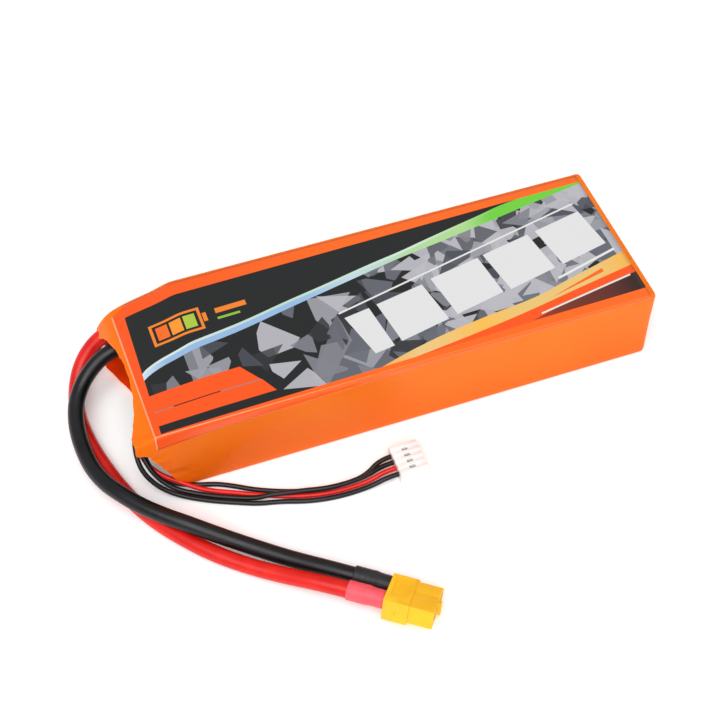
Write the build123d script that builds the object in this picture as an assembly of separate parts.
from build123d import *
import math
import os

# A three-cell soft-pack battery that lies flat, with its two power leads, its four balance wires
# and their plugs on the surface beside it.
# The frame: +X to the closed far end, +Y to the back, +Z up, origin under the middle of the pack.
# Sizes are in millimetres.

# ---------------------------------------------------------------- cells
CELL_COUNT = 3
CELL_LENGTH = 154.4
CELL_WIDTH = 60.5
CELL_THICKNESS = 9.5
CELL_EDGE_RADIUS = 2.4
SIDE_FOLD = 0.5             # the sealed long edge, folded flat against the cell's side
SIDE_FOLD_HEIGHT = 5.6
TERRACE_LENGTH = 8.5        # the sealed end that the tabs come through
TERRACE_MARGIN = 2.25       # from the cell's side to the terrace's
TERRACE_THICKNESS = 0.6
TERRACE_ROOT = 3.0          # how far the terrace runs into the cell's body
BOND_PAD = 0.4
BOND_PAD_MARGIN = 8.0

# ---------------------------------------------------------------- tabs, board and solder
TAB_WIDTH = 12.0
TAB_THICKNESS = 0.3
TAB_LEG = 4.1               # the end of a tab, bent up or down against the board
TAB_OFFSET = 15.5           # from the middle plane to the middle of a tab
BOARD_THICKNESS = 1.0
BOARD_SETBACK = 6.0         # from the end of the top plate to the board's outer face
BOARD_MARGIN = 0.55         # from the cell's side to the board's end
BOARD_BELOW_TABS = 1.22     # the board reaches this far below the lowest tabs
BOARD_SHORT_OF_TABS = 1.02  # and stops this far under the highest ones
LEAD_SOLDER_RADIUS = 2.9
LEAD_SOLDER_HEIGHT = 2.0
WIRE_SOLDER_RADIUS = 1.2

# ---------------------------------------------------------------- stack and wrap
PLATE_THICKNESS = 0.6
PLATE_MARGIN = 1.3          # from the wrap's side to the top plate's long edge
BOTTOM_PLATE_MARGIN = 3.6   # wider, for the wrap's rounded bottom edges
BOTTOM_PLATE_START = 12.0
TAPE_THICKNESS = 0.1
TAPE_WIDTH = 20.0
TAPE_INSET = 14.0           # from an end of the cells to the nearer tape
FOAM_END_GAP = 0.3
FAR_PAD_THICKNESS = 1.15
FAR_PAD_MARGIN = 3.0
WRAP_WALL = 0.25
WRAP_SLACK = 0.02           # between the tape and the wrap
SIDE_SLACK = 0.4            # between the cells' folds and the tape
LEAD_BAY = 22.5             # from the end of the top plate to the cells' bodies
MOUTH_SKIRT = 7.3           # the wrap past the end of the top plate
TOP_CORNER_RADIUS = 1.2
BOTTOM_CORNER_RADIUS = 3.5
END_HOLE_WIDTH = 45.0
END_HOLE_HEIGHT = 14.0

# ---------------------------------------------------------------- label sheet
LABEL_THICKNESS = 0.12
LABEL_GAP = 0.02
LABEL_START = 0.2           # from the end of the top plate
LABEL_END_MARGIN = 2.3
LABEL_BACK_MARGIN = 1.3
FLAP_DROPS = [(0.2, 6.5), (20.0, 4.5), (100.0, 2.0), (176.0, 1.5)]

# ---------------------------------------------------------------- leads and balance wires
LEAD_DIAMETER = 5.5
LEAD_CORE_RADIUS = 1.6
WIRE_DIAMETER = 1.7
WIRE_STRAIGHT = 4.0         # a balance wire's last run, along its terminal
SEAT_CLEARANCE = 0.02

# ---------------------------------------------------------------- power plug
PLUG_YAW = -37.0            # its mating end points forward and to the right
PLUG_ROLL = 18.0            # it leans on its chamfered, negative edge
PLUG_DISTANCE = 63.6        # from the mouth, along X, to the middle of its rear face
PLUG_FRONT = 95.3           # from the middle plane to the same point
PLUG_WIDTH = 16.0
PLUG_HEIGHT = 8.1
PLUG_BLOCK_LENGTH = 8.2
PLUG_CHAMFER = 3.0
NOSE_LENGTH = 8.0
NOSE_INSET = 0.6
NOSE_CHAMFER = 2.7
CONTACT_SPACING = 7.2
CONTACT_RADIUS = 2.1
SOCKET_RADIUS = 1.75
SOCKET_DEPTH = 12.0
NOSE_LIP = 0.8              # the contacts end this far inside the nose's holes
GROOVE_WIDTH = 0.45            # along the middle of the nose, above and below
GROOVE_DEPTH = 0.35
TAB_SIDES = (-1.5, -0.1)       # the tab between the contacts' mouths, which keys the mate
TAB_LENGTH = 1.1
TAB_HALF_HEIGHT = 2.4
CUP_RADIUS = 2.5
CUP_LENGTH = 4.5
CUP_FLOOR = 0.4
LEAD_END = -5.0             # the insulation ends here, along the plug's axis
LEAD_STRAIGHT = -19.5       # and the lead's last run starts here
SLEEVE_START = -12.4
SLEEVE_END = -0.2
SLEEVE_WALL = 0.53
PANEL_DEPTH = 0.3
MARK_LENGTH = 2.4
MARK_WIDTH = 0.6
MARK_DEPTH = 0.25

# ---------------------------------------------------------------- balance plug
BALANCE_PITCH = 2.5
BALANCE_WIRES = 4
BALANCE_DISTANCE = 83.2     # from the mouth, along X, to its rear face
BALANCE_FRONT = 49.1        # from the middle plane to its middle
BALANCE_LENGTH = 9.8
BALANCE_WIDTH = 12.4
BALANCE_HEIGHT = 5.75
BALANCE_AXIS_HEIGHT = 2.9
BALANCE_FRONT_WALL = 1.0
CAVITY_SIZE = 1.84
PIN_HOLE_SIZE = 0.9
TERMINAL_SIZE = 1.5
TERMINAL_BORE = 0.8
BARREL_RADIUS = 0.8
BARREL_LENGTH = 2.6
WINDOW_LENGTH = 2.2
WINDOW_WIDTH = 1.1
RIB_WIDTH = 0.7
RIB_HEIGHT = 0.45

# ---------------------------------------------------------------- places worked out from the sizes
HALF_WIDTH = CELL_WIDTH / 2 + SIDE_FOLD + SIDE_SLACK + TAPE_THICKNESS + WRAP_WALL
STACK_BOTTOM = WRAP_WALL + WRAP_SLACK + TAPE_THICKNESS
FIRST_CELL_Z = STACK_BOTTOM + PLATE_THICKNESS
CELL_PITCH = CELL_THICKNESS + BOND_PAD
TERRACE_WIDTH = CELL_WIDTH - 2 * TERRACE_MARGIN
LAST_CELL_TOP = FIRST_CELL_Z + (CELL_COUNT - 1) * CELL_PITCH + CELL_THICKNESS
PACK_HEIGHT = LAST_CELL_TOP + PLATE_THICKNESS + STACK_BOTTOM
PACK_LENGTH = MOUTH_SKIRT + LEAD_BAY + CELL_LENGTH + FAR_PAD_THICKNESS + WRAP_WALL
MOUTH_X = -PACK_LENGTH / 2
FAR_X = PACK_LENGTH / 2
PLATE_X = MOUTH_X + MOUTH_SKIRT
CELL_X = PLATE_X + LEAD_BAY
CELL_END_X = CELL_X + CELL_LENGTH
BOARD_X = PLATE_X + BOARD_SETBACK

# The wrap is a plain rectangle along the cells. Towards the mouth it bends with the top plate.
# Each row: distance from the plate's end, lift of the bottom, drop of the top at the front and
# at the back, and how far the front and the back side come in.
MOUTH_BENDS = [
    (-MOUTH_SKIRT, 3.0, 4.7, 10.8, 2.0, 0.2),
    (-3.5, 2.2, 2.2, 9.2, 0.8, 0.1),
    (0.0, 1.5, 0.2, 7.4, 0.0, 0.0),
    (5.0, 0.6, 0.1, 5.2, 0.0, 0.0),
    (10.0, 0.0, 0.0, 3.8, 0.0, 0.0),
    (16.0, 0.0, 0.0, 2.3, 0.0, 0.0),
    (LEAD_BAY - 0.5, 0.0, 0.0, 0.0, 0.0, 0.0),
]
# The mouth's lower front is cut away along this outline of (distance from plate's end, height),
# and the cut moves back by MOUTH_CUT_SLANT from the front side to the back side.
MOUTH_CUT = [(-14.0, 22.0), (-7.3, 22.0), (-3.0, 19.6), (-0.5, 15.2), (3.5, 8.0), (6.2, 4.0),
             (9.6, 0.0), (9.6, -6.0), (-14.0, -6.0)]
MOUTH_CUT_SLANT = -13.4
# The top lip is hollowed by an arc through these points of (distance from the mouth, Y).
LIP_ARC = [(0.0, -29.5), (6.5, 1.5), (1.3, 28.5)]
LIP_CUT_BOTTOM = 16.0

# Routes of the leads and wires, as (distance from the mouth, Y, Z). Each starts at the tab board;
# the points at its plug are added where the plug lies.
NEGATIVE_ROUTE = [
    (9.3, 19.6, 18.4), (3.3, 18.9, 17.6), (-2.5, 16.8, 15.4), (-7.6, 13.4, 12.3), (-11.2, 8.6, 10.2),
    (-13.2, 2.9, 8.9), (-14.1, -4.2, 8.0), (-13.9, -11.8, 7.4), (-12.8, -19.4, 7.2),
    (-10.3, -26.8, 8.0), (-6.6, -32.9, 8.6), (-1.8, -39.4, 8.6), (4.5, -45.8, 8.5),
    (10.8, -51.1, 8.2), (17.7, -55.9, 6.0), (27.3, -62.6, 3.6), (38.6, -71.6, 3.0),
]
POSITIVE_ROUTE = [
    (9.3, 27.6, 19.0), (3.5, 28.3, 17.4), (-1.6, 28.0, 14.4), (-5.9, 26.2, 10.7), (-9.3, 22.9, 7.2),
    (-11.7, 18.3, 4.45), (-13.0, 12.8, 2.95), (-13.2, 6.4, 2.78), (-12.1, -0.6, 2.78),
    (-10.9, -8.4, 2.78), (-8.9, -16.4, 2.78), (-6.1, -25.5, 2.78), (-2.6, -34.8, 2.78),
    (2.2, -43.6, 2.78), (8.2, -52.0, 2.78), (15.4, -60.6, 2.78), (24.3, -68.8, 2.78),
    (34.5, -77.0, 3.6),
]
BALANCE_ROUTES = [
    # the wire of the first cell's negative tab, hidden behind its neighbours
    [(11.8, -11.0, 5.6), (8.6, -11.4, 5.6), (6.2, -13.7, 5.1), (5.0, -17.4, 4.4), (5.3, -21.4, 3.5),
     (7.2, -25.3, 2.4), (10.2, -28.6, 1.5), (14.0, -31.0, 1.0), (18.8, -32.8, 0.9),
     (24.4, -34.4, 0.9), (29.8, -37.1, 0.9), (35.8, -40.9, 0.9), (42.8, -44.2, 0.9),
     (50.5, -47.0, 0.9), (58.5, -48.8, 0.9), (66.2, -49.2, 0.9), (73.2, -48.4, 1.0)],
    # the wire between the first two cells, which crosses over the next one
    [(11.8, -10.5, 13.0), (7.4, -10.9, 13.6), (3.4, -12.9, 14.2), (0.8, -16.6, 13.9),
     (0.2, -21.2, 12.2), (1.8, -25.8, 9.0), (5.6, -29.6, 5.0), (9.9, -32.6, 2.3),
     (15.2, -35.6, 1.1), (21.8, -39.2, 0.9), (28.6, -42.2, 0.9), (35.3, -44.9, 1.2),
     (40.2, -46.0, 2.78), (46.2, -47.3, 2.85), (50.8, -48.1, 2.78), (58.7, -49.8, 2.55),
     (66.3, -50.2, 2.55), (73.4, -49.6, 2.6)],
    # the wire of the last cell's positive tab
    [(11.8, -11.0, 9.4), (8.0, -11.6, 9.5), (5.2, -14.2, 9.6), (3.6, -18.0, 9.4), (3.8, -22.2, 8.5),
     (5.9, -26.1, 6.3), (9.2, -29.3, 3.8), (12.9, -31.9, 2.5), (16.9, -34.4, 1.4),
     (21.9, -37.0, 0.9), (28.8, -39.8, 0.9), (35.8, -43.1, 0.9), (43.3, -46.4, 0.9),
     (51.0, -49.2, 0.9), (58.8, -50.9, 0.9), (66.4, -51.3, 0.9), (73.5, -51.0, 1.1)],
    # the wire between the last two cells, nearest the front
    [(11.8, -10.5, 17.0), (7.2, -10.8, 17.3), (3.0, -12.8, 17.4), (0.0, -16.8, 16.6),
     (-0.8, -21.9, 14.4), (0.8, -27.0, 10.2), (4.6, -31.4, 5.6), (9.2, -34.6, 2.2),
     (14.5, -37.6, 1.0), (21.2, -41.2, 0.9), (28.2, -44.2, 0.9), (35.8, -46.9, 0.9),
     (43.3, -48.6, 0.9), (51.0, -51.4, 0.9), (59.0, -53.0, 0.9), (66.6, -53.4, 0.9),
     (73.6, -53.1, 1.1)],
]
# Which place in the plug each of those wires ends at, counted from the front.
BALANCE_PLACES = [3, 2, 1, 0]


# ---------------------------------------------------------------- plain shapes
def slab(x0, x1, y0, y1, z0, z1):
    """A box between two corners."""
    box = Box(x1 - x0, y1 - y0, z1 - z0)
    return Pos((x0 + x1) / 2, (y0 + y1) / 2, (z0 + z1) / 2) * box


def rod(radius, x0, x1):
    """A cylinder along X between two places."""
    turned = Rot(0, 90, 0) * Cylinder(radius, x1 - x0)
    return Pos((x0 + x1) / 2, 0, 0) * turned


def rod_between(radius, start, end):
    """A cylinder from one point to another."""
    axis = end - start
    disc = Plane(origin=start, z_dir=axis) * Circle(radius)
    return extrude(disc, amount=axis.length)


# ---------------------------------------------------------------- cells and what lies between them
def cell_bottom(index):
    return FIRST_CELL_Z + index * CELL_PITCH


def cell_middle(index):
    return cell_bottom(index) + CELL_THICKNESS / 2


def pouch_cell(index):
    """A pouch with rounded edges, its side seals folded in and its end seal as a thin terrace."""
    body = Box(CELL_LENGTH, CELL_WIDTH, CELL_THICKNESS)
    body = fillet(body.edges(), CELL_EDGE_RADIUS)
    middle = cell_middle(index)
    body = Pos((CELL_X + CELL_END_X) / 2, 0, middle) * body
    fold_reach = CELL_WIDTH / 2 + SIDE_FOLD
    fold_margin = CELL_EDGE_RADIUS + SIDE_FOLD
    half_fold = SIDE_FOLD_HEIGHT / 2
    folds = slab(CELL_X + fold_margin, CELL_END_X - fold_margin,
                 -fold_reach, fold_reach, middle - half_fold, middle + half_fold)
    half_terrace = TERRACE_THICKNESS / 2
    terrace = slab(CELL_X - TERRACE_LENGTH, CELL_X + TERRACE_ROOT,
                   -TERRACE_WIDTH / 2, TERRACE_WIDTH / 2,
                   middle - half_terrace, middle + half_terrace)
    return body + folds + terrace


def cell_tab(index, side, leg_direction):
    """A flat tab from the terrace to the board, with its end bent up (+1) or down (-1)."""
    middle = cell_middle(index)
    board_face = BOARD_X + BOARD_THICKNESS
    y = side * TAB_OFFSET
    half_width = TAB_WIDTH / 2
    half = TAB_THICKNESS / 2
    flat = slab(board_face, CELL_X - TERRACE_LENGTH, y - half_width, y + half_width,
                middle - half, middle + half)
    leg_end = middle + leg_direction * TAB_LEG
    leg = slab(board_face, board_face + TAB_THICKNESS, y - half_width, y + half_width,
               min(middle, leg_end), max(middle, leg_end))
    return flat + leg


def bond_pad(index):
    """Double-sided foam tape between two cells."""
    bottom = cell_bottom(index) + CELL_THICKNESS
    half_width = CELL_WIDTH / 2 - BOND_PAD_MARGIN
    return slab(CELL_X + BOND_PAD_MARGIN, CELL_END_X - BOND_PAD_MARGIN,
                -half_width, half_width, bottom, bottom + BOND_PAD)


def tab_foam(index):
    """A foam block between the terraces of two cells."""
    bottom = cell_middle(index) + TERRACE_THICKNESS / 2
    top = cell_middle(index + 1) - TERRACE_THICKNESS / 2
    half_width = TERRACE_WIDTH / 2 - 2 * FOAM_END_GAP
    return slab(CELL_X - TERRACE_LENGTH + FOAM_END_GAP, CELL_X - FOAM_END_GAP,
                -half_width, half_width, bottom, top)


def far_end_pad():
    return slab(CELL_END_X, CELL_END_X + FAR_PAD_THICKNESS,
                -HALF_WIDTH + FAR_PAD_MARGIN, HALF_WIDTH - FAR_PAD_MARGIN,
                FAR_PAD_MARGIN, PACK_HEIGHT - FAR_PAD_MARGIN)


def tab_board():
    """An upright board in front of the terraces. The highest tabs pass over it."""
    half_width = CELL_WIDTH / 2 - BOARD_MARGIN
    bottom = cell_middle(0) - BOARD_BELOW_TABS
    top = cell_middle(CELL_COUNT - 1) - BOARD_SHORT_OF_TABS
    return slab(BOARD_X, BOARD_X + BOARD_THICKNESS, -half_width, half_width, bottom, top)


# ---------------------------------------------------------------- wrap, plates and tape
def bend_at(distance):
    """The wrap's bend at a distance from the plate's end, between two rows of MOUTH_BENDS."""
    if distance >= MOUTH_BENDS[-1][0]:
        return MOUTH_BENDS[-1][1:]
    for low, high in zip(MOUTH_BENDS, MOUTH_BENDS[1:]):
        if distance <= high[0]:
            share = (distance - low[0]) / (high[0] - low[0])
            return [a + share * (b - a) for a, b in zip(low[1:], high[1:])]


def top_drop(distance, y):
    """How far the wrap's top lies below PACK_HEIGHT at a place in front of the cells."""
    front_drop, back_drop = bend_at(distance)[1:3]
    share = (y + HALF_WIDTH) / (2 * HALF_WIDTH)
    return front_drop + share * (back_drop - front_drop)


def cross_section(distance, outline, radii):
    """A face across the pack, from (Y, Z) points with a radius at each corner."""
    plane = Plane(origin=(PLATE_X + distance, 0, 0), x_dir=(0, 1, 0), z_dir=(1, 0, 0))
    return plane * make_face(FilletPolyline(*outline, radius=radii, close=True))


def wrap_section(distance, inset):
    """The wrap's outline, brought in by inset."""
    lift, front_drop, back_drop, front_in, back_in = bend_at(distance)
    front = -HALF_WIDTH + front_in + inset
    back = HALF_WIDTH - back_in - inset
    top = PACK_HEIGHT - inset
    outline = [(front, lift + inset), (back, lift + inset),
               (back, top - back_drop), (front, top - front_drop)]
    low = BOTTOM_CORNER_RADIUS - inset
    high = TOP_CORNER_RADIUS - inset
    return cross_section(distance, outline, [low, low, high, high])


def mouth_cutter():
    """What is missing from the lower front of the mouth."""
    faces = []
    for y, shift in ((-HALF_WIDTH - 1, 0.0), (HALF_WIDTH + 1, MOUTH_CUT_SLANT)):
        corners = [(PLATE_X + distance + shift, y, z) for distance, z in MOUTH_CUT]
        faces.append(make_face(Polyline(*corners, close=True)))
    return loft(faces, ruled=True)


def lip_cutter():
    """A round block that hollows the top lip."""
    start, middle, end = [(MOUTH_X + distance, y) for distance, y in LIP_ARC]
    arc = ThreePointArc(start, middle, end)
    chord = Polyline(end, (start[0] - 3, end[1]), (start[0] - 3, start[1]), start)
    face = Pos(0, 0, LIP_CUT_BOTTOM) * make_face([arc, chord])
    return extrude(face, amount=PACK_HEIGHT)


def shrink_wrap():
    """A thin tube, closed round the far end except for an oval hole, and open at the mouth."""
    bends = [row[0] for row in MOUTH_BENDS]
    far = FAR_X - PLATE_X
    outer = loft([wrap_section(d, 0) for d in bends + [far]], ruled=True)
    inner = loft([wrap_section(d, WRAP_WALL) for d in bends + [far - WRAP_WALL]], ruled=True)
    mouth = extrude(wrap_section(bends[0], WRAP_WALL), amount=-1)
    hole = RectangleRounded(END_HOLE_WIDTH, END_HOLE_HEIGHT, END_HOLE_HEIGHT * 0.49)
    end_plane = Plane(origin=(FAR_X - 2 * WRAP_WALL, 0, PACK_HEIGHT / 2),
                      x_dir=(0, 1, 0), z_dir=(1, 0, 0))
    end_hole = extrude(end_plane * hole, amount=3 * WRAP_WALL)
    return outer - inner - mouth - end_hole - mouth_cutter() - lip_cutter()


def top_plate():
    """A thin board on the cells, bent down with the wrap over the lead bay."""
    sections = []
    half_width = HALF_WIDTH - PLATE_MARGIN
    top = PACK_HEIGHT - STACK_BOTTOM
    distances = [0.3] + [row[0] for row in MOUTH_BENDS[3:]] + [CELL_END_X - PLATE_X]
    for distance in distances:
        ends = [(y, top - top_drop(distance, y)) for y in (-half_width, half_width)]
        lower = [(y, z - PLATE_THICKNESS) for y, z in reversed(ends)]
        sections.append(cross_section(distance, ends + lower, [0, 0, 0, 0]))
    return loft(sections, ruled=True)


def bottom_plate():
    half_width = HALF_WIDTH - BOTTOM_PLATE_MARGIN
    return slab(PLATE_X + BOTTOM_PLATE_START, CELL_END_X, -half_width, half_width,
                STACK_BOTTOM, STACK_BOTTOM + PLATE_THICKNESS)


def stack_tape(start_x):
    """A band of tape round the plates and cells, just inside the wrap."""
    distance = start_x - PLATE_X
    outside = extrude(wrap_section(distance, WRAP_WALL + WRAP_SLACK), amount=TAPE_WIDTH)
    inside = extrude(wrap_section(distance, STACK_BOTTOM), amount=TAPE_WIDTH)
    return outside - inside


def flap_drop(distance):
    """How far the label hangs down the front, between two rows of FLAP_DROPS."""
    for low, high in zip(FLAP_DROPS, FLAP_DROPS[1:]):
        if distance <= high[0]:
            share = (distance - low[0]) / (high[0] - low[0])
            return low[1] + share * (high[1] - low[1])
    return FLAP_DROPS[-1][1]


def label_sheet():
    """A printed sheet over the top, folded a little way down the front."""
    sections = []
    back = HALF_WIDTH - LABEL_BACK_MARGIN
    end = FAR_X - LABEL_END_MARGIN - PLATE_X
    distances = [LABEL_START] + [row[0] for row in MOUTH_BENDS[3:]] + [FLAP_DROPS[2][0], end]
    for distance in distances:
        front_top = PACK_HEIGHT - top_drop(distance, -HALF_WIDTH)
        back_top = PACK_HEIGHT - top_drop(distance, back)
        hem = front_top - flap_drop(distance)
        upper = LABEL_GAP + LABEL_THICKNESS
        outside = [(back, back_top + upper), (-HALF_WIDTH - upper, front_top + upper),
                   (-HALF_WIDTH - upper, hem)]
        inside = [(-HALF_WIDTH - LABEL_GAP, hem), (-HALF_WIDTH - LABEL_GAP, front_top + LABEL_GAP),
                  (back, back_top + LABEL_GAP)]
        radii = [0, TOP_CORNER_RADIUS + upper, 0, 0, TOP_CORNER_RADIUS + LABEL_GAP, 0]
        sections.append(cross_section(distance, outside + inside, radii))
    return loft(sections, ruled=True)


# ---------------------------------------------------------------- cords
def placed(route):
    """A route's points in the pack's frame."""
    return [Vector(MOUTH_X + x, y, z) for x, y, z in route]


def cord_tube(name, points, diameter):
    """Straight runs joined by arcs, each as large as 0.45 of its shorter run allows."""
    radii = []
    for before, corner, after in zip(points, points[1:], points[2:]):
        run_in = corner - before
        run_out = after - corner
        half_turn = math.radians(run_in.get_angle(run_out)) / 2
        radii.append(0.45 * min(run_in.length, run_out.length) / math.tan(half_turn))
    path = FilletPolyline(*points, radius=radii)
    section = Plane(origin=points[0], z_dir=points[1] - points[0]) * Circle(diameter / 2)
    tube = sweep(section, path=path)
    expected = math.pi * diameter ** 2 / 4 * path.length
    print(f"{name}: length {path.length:.1f}, smallest radius {min(radii):.1f}, "
          f"volume over section times length {tube.volume / expected:.4f}")
    print("    radii " + ", ".join(f"{radius:.0f}" for radius in radii))
    return tube


def lead_points(route, side):
    """A power lead's route, ended straight along the plug's axis."""
    ends = [plug_point(LEAD_STRAIGHT, side), plug_point(LEAD_END, side)]
    return placed(route) + ends


def balance_points(route, place):
    """A balance wire's route, ended straight along its terminal."""
    end = Vector(MOUTH_X + BALANCE_DISTANCE, balance_y(place), BALANCE_AXIS_HEIGHT)
    return placed(route) + [end - Vector(WIRE_STRAIGHT, 0, 0), end]


def lead_core(points):
    """The tinned end of a power lead, between its insulation and the board."""
    back = points[0] - points[1]
    reach = points[0] + back * (2 * (BOARD_X - points[0].X) / back.X)
    core = rod_between(LEAD_CORE_RADIUS, points[0], reach)
    beyond = slab(BOARD_X, BOARD_X + 30, -HALF_WIDTH, HALF_WIDTH, 0, PACK_HEIGHT)
    return core - beyond


def solder_joint(points, radius, height, remove):
    """A cone of solder on the board where a lead or wire ends."""
    back = points[0] - points[1]
    foot = points[0] + back * ((BOARD_X - points[0].X) / back.X)
    cone = Rot(0, -90, 0) * Cone(radius, radius * 0.62, height)
    return Pos(foot.X - height / 2, foot.Y, foot.Z) * cone - remove


def wire_end(points):
    """The first millimetres of a wire, a little thicker, as a cutter for its solder."""
    along = (points[1] - points[0]).normalized()
    return rod_between(WIRE_DIAMETER / 2 + SEAT_CLEARANCE, points[0], points[0] + along * 2)


# ---------------------------------------------------------------- power plug
def plug_frame():
    """The plug's own frame: +X out of its mating end, +Y to the negative side, origin at the
    middle of its rear face. It stands on its chamfered edge, whose lowest line is at Z = 0."""
    roll = math.radians(PLUG_ROLL)
    height = (PLUG_WIDTH / 2 - PLUG_CHAMFER) * math.sin(roll) + PLUG_HEIGHT / 2 * math.cos(roll)
    place = Pos(MOUTH_X + PLUG_DISTANCE, -PLUG_FRONT, height)
    return place * Rot(0, 0, PLUG_YAW) * Rot(-PLUG_ROLL, 0, 0)


def plug_point(along, side):
    """A point on a contact's axis, on the negative (+1) or the positive (-1) side."""
    return (plug_frame() * Pos(along, side * CONTACT_SPACING / 2, 0)).position


def on_contact(side, shape):
    """A shape made on the X axis, moved onto a contact's axis."""
    return plug_frame() * Pos(0, side * CONTACT_SPACING / 2, 0) * shape


def chamfered_bar(width, height, cut, x0, x1):
    """A bar along X, with both edges of its negative side cut off."""
    outline = [(-width / 2, -height / 2), (width / 2 - cut, -height / 2),
               (width / 2, -height / 2 + cut), (width / 2, height / 2 - cut),
               (width / 2 - cut, height / 2), (-width / 2, height / 2)]
    plane = Plane(origin=(x0, 0, 0), x_dir=(0, 1, 0), z_dir=(1, 0, 0))
    return extrude(plane * make_face(Polyline(*outline, close=True)), amount=x1 - x0)


def polarity_marks():
    """A sunken plus on the positive side wall and a minus on the negative one."""
    half_length = MARK_LENGTH / 2
    half_width = MARK_WIDTH / 2
    middle = PLUG_BLOCK_LENGTH / 2
    side = PLUG_WIDTH / 2
    across = slab(middle - half_length, middle + half_length, -side - 1, -side + MARK_DEPTH,
                  -half_width, half_width)
    upright = slab(middle - half_width, middle + half_width, -side - 1, -side + MARK_DEPTH,
                   -half_length, half_length)
    minus = slab(middle - half_length, middle + half_length, side - MARK_DEPTH, side + 1,
                 -half_width, half_width)
    return across + upright + minus


def power_plug_housing():
    """A moulded block with a smaller nose, bored for two contacts. A groove runs along the
    nose's middle, and a tab stands out between the two mouths."""
    front = PLUG_BLOCK_LENGTH + NOSE_LENGTH
    nose_width = PLUG_WIDTH - 2 * NOSE_INSET
    nose_height = PLUG_HEIGHT - 2 * NOSE_INSET
    body = chamfered_bar(PLUG_WIDTH, PLUG_HEIGHT, PLUG_CHAMFER, 0, PLUG_BLOCK_LENGTH)
    body += chamfered_bar(nose_width, nose_height, NOSE_CHAMFER, PLUG_BLOCK_LENGTH, front)
    for side in (-1, 1):
        bore = rod(CONTACT_RADIUS + SEAT_CLEARANCE, -1, front + 1)
        body -= Pos(0, side * CONTACT_SPACING / 2, 0) * bore
        panel_face = side * PLUG_HEIGHT / 2
        panel = Box(PLUG_BLOCK_LENGTH - 3.2, PLUG_WIDTH - 2 * PLUG_CHAMFER - 1.6, 2 * PANEL_DEPTH)
        body -= Pos(PLUG_BLOCK_LENGTH / 2, 0, panel_face) * panel
    for face in (-nose_height / 2, nose_height / 2):
        body -= slab(PLUG_BLOCK_LENGTH, front + 1, -GROOVE_WIDTH / 2, GROOVE_WIDTH / 2,
                     face - GROOVE_DEPTH, face + GROOVE_DEPTH)
    body += slab(front - 0.1, front + TAB_LENGTH, *TAB_SIDES, -TAB_HALF_HEIGHT, TAB_HALF_HEIGHT)
    return plug_frame() * (body - polarity_marks())


def power_contact(side):
    """A gold-plated socket with a solder cup behind it."""
    mouth = PLUG_BLOCK_LENGTH + NOSE_LENGTH - NOSE_LIP
    body = rod(CONTACT_RADIUS, 0, mouth) + rod(CUP_RADIUS, -CUP_LENGTH, 0)
    body -= rod(SOCKET_RADIUS, mouth - SOCKET_DEPTH, mouth + 1)
    body -= rod(LEAD_CORE_RADIUS + SEAT_CLEARANCE, -CUP_LENGTH - 1, -CUP_FLOOR)
    return on_contact(side, body)


def plug_core(side):
    """The tinned end of a power lead inside its solder cup."""
    return on_contact(side, rod(LEAD_CORE_RADIUS, LEAD_END, -CUP_FLOOR))


def lead_sleeve(side):
    """Heat-shrink over the end of the insulation and the solder cup."""
    over_lead = LEAD_DIAMETER / 2 + SEAT_CLEARANCE
    over_cup = CUP_RADIUS + SEAT_CLEARANCE
    step = -CUP_LENGTH
    inner = [(SLEEVE_START, over_lead), (step - 0.3, over_lead), (step - 0.1, over_cup),
             (SLEEVE_END, over_cup)]
    outer = [(SLEEVE_END, over_cup + SLEEVE_WALL), (step + 0.3, over_cup + SLEEVE_WALL),
             (step - 0.9, over_lead + SLEEVE_WALL), (SLEEVE_START, over_lead + SLEEVE_WALL)]
    profile = make_face(Polyline(*(inner + outer), close=True))
    return on_contact(side, revolve(profile, axis=Axis.X))


# ---------------------------------------------------------------- balance plug
def balance_y(place):
    """The Y of a terminal, counted from the front."""
    return -BALANCE_FRONT + (place - (BALANCE_WIRES - 1) / 2) * BALANCE_PITCH


def square_bar(size, x0, x1, y):
    """A square bar along X at a terminal's height."""
    return slab(x0, x1, y - size / 2, y + size / 2,
                BALANCE_AXIS_HEIGHT - size / 2, BALANCE_AXIS_HEIGHT + size / 2)


def balance_plug_housing():
    """A small block with four cavities, pin holes, latch windows and ribs along its top."""
    rear = MOUTH_X + BALANCE_DISTANCE
    front = rear + BALANCE_LENGTH
    body_top = BALANCE_HEIGHT - RIB_HEIGHT
    body = slab(rear, front, -BALANCE_FRONT - BALANCE_WIDTH / 2, -BALANCE_FRONT + BALANCE_WIDTH / 2,
                0, body_top)
    for rib in range(BALANCE_WIRES + 1):
        y = balance_y(rib) - BALANCE_PITCH / 2
        body += slab(rear, front, y - RIB_WIDTH / 2, y + RIB_WIDTH / 2,
                     body_top - RIB_HEIGHT, BALANCE_HEIGHT)
    for place in range(BALANCE_WIRES):
        y = balance_y(place)
        body -= square_bar(CAVITY_SIZE, rear - 1, front - BALANCE_FRONT_WALL, y)
        body -= square_bar(PIN_HOLE_SIZE, front - BALANCE_FRONT_WALL - 1, front + 1, y)
        middle = (rear + front) / 2
        body -= slab(middle - WINDOW_LENGTH / 2, middle + WINDOW_LENGTH / 2,
                     y - WINDOW_WIDTH / 2, y + WINDOW_WIDTH / 2,
                     BALANCE_AXIS_HEIGHT, BALANCE_HEIGHT + 1)
    return body


def balance_terminal(place):
    """A crimp barrel round the wire's end, and a square box that takes the pin."""
    rear = MOUTH_X + BALANCE_DISTANCE
    front = rear + BALANCE_LENGTH - BALANCE_FRONT_WALL
    y = balance_y(place)
    barrel = Pos(0, y, BALANCE_AXIS_HEIGHT) * rod(BARREL_RADIUS, rear, rear + BARREL_LENGTH)
    box = square_bar(TERMINAL_SIZE, rear + BARREL_LENGTH, front, y)
    return barrel + box - square_bar(TERMINAL_BORE, rear + BARREL_LENGTH + 1, front + 1, y)


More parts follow.
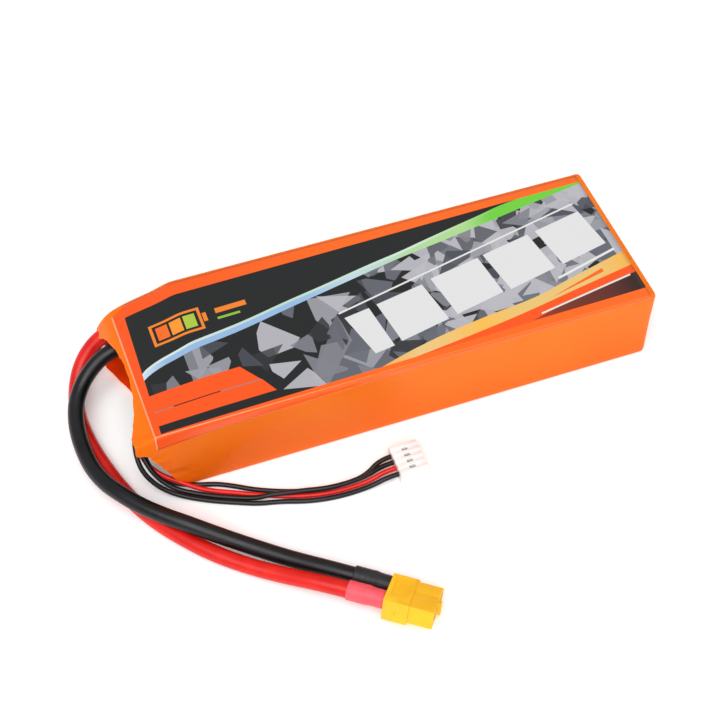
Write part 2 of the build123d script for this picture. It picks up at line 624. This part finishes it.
# ---------------------------------------------------------------- the assembly
parts = {}
# Each cell's tabs, as (side, leg direction): the positive one, then the negative one.
TAB_LAYOUT = [((-1, 1), (1, 1)), ((1, 1), (-1, -1)), ((-1, -1), (1, -1))]
for i in range(CELL_COUNT):
    positive_side, negative_side = TAB_LAYOUT[i]
    parts[f"cell_{i + 1}"] = pouch_cell(i)
    parts[f"cell_{i + 1}_positive_tab"] = cell_tab(i, *positive_side)
    parts[f"cell_{i + 1}_negative_tab"] = cell_tab(i, *negative_side)
for i in range(CELL_COUNT - 1):
    parts[f"cell_bond_pad_{i + 1}"] = bond_pad(i)
parts["tab_foam_lower"] = tab_foam(0)
parts["tab_foam_upper"] = tab_foam(1)
parts["far_end_foam_pad"] = far_end_pad()
parts["tab_board"] = tab_board()
parts["bottom_stiffener_plate"] = bottom_plate()
parts["top_stiffener_plate"] = top_plate()
parts["stack_tape_lead_end"] = stack_tape(CELL_X + TAPE_INSET)
parts["stack_tape_far_end"] = stack_tape(CELL_END_X - TAPE_INSET - TAPE_WIDTH)
parts["shrink_wrap"] = shrink_wrap()
parts["label_sheet"] = label_sheet()

joints = []
for name, route, side in (("negative", NEGATIVE_ROUTE, 1), ("positive", POSITIVE_ROUTE, -1)):
    points = lead_points(route, side)
    core = lead_core(points)
    joints.append(solder_joint(points, LEAD_SOLDER_RADIUS, LEAD_SOLDER_HEIGHT, core))
    parts[f"{name}_lead"] = cord_tube(f"{name}_lead", points, LEAD_DIAMETER)
    parts[f"{name}_lead_core"] = core
    parts[f"{name}_lead_sleeve"] = lead_sleeve(side)
    parts[f"power_plug_{name}_contact"] = power_contact(side)
    parts[f"{name}_plug_core"] = plug_core(side)
parts["power_plug_housing"] = power_plug_housing()

for i, (route, place) in enumerate(zip(BALANCE_ROUTES, BALANCE_PLACES)):
    points = balance_points(route, place)
    solder_height = BOARD_X - points[0].X + SEAT_CLEARANCE
    joints.append(solder_joint(points, WIRE_SOLDER_RADIUS, solder_height, wire_end(points)))
    parts[f"balance_wire_{i + 1}"] = cord_tube(f"balance_wire_{i + 1}", points, WIRE_DIAMETER)
parts["solder_joints"] = Compound(joints)
parts["balance_plug_housing"] = balance_plug_housing()
parts["balance_plug_contacts"] = Compound([balance_terminal(p) for p in range(BALANCE_WIRES)])

os.makedirs("parts", exist_ok=True)
for name, shape in parts.items():
    export_step(shape, f"parts/{name}.step")
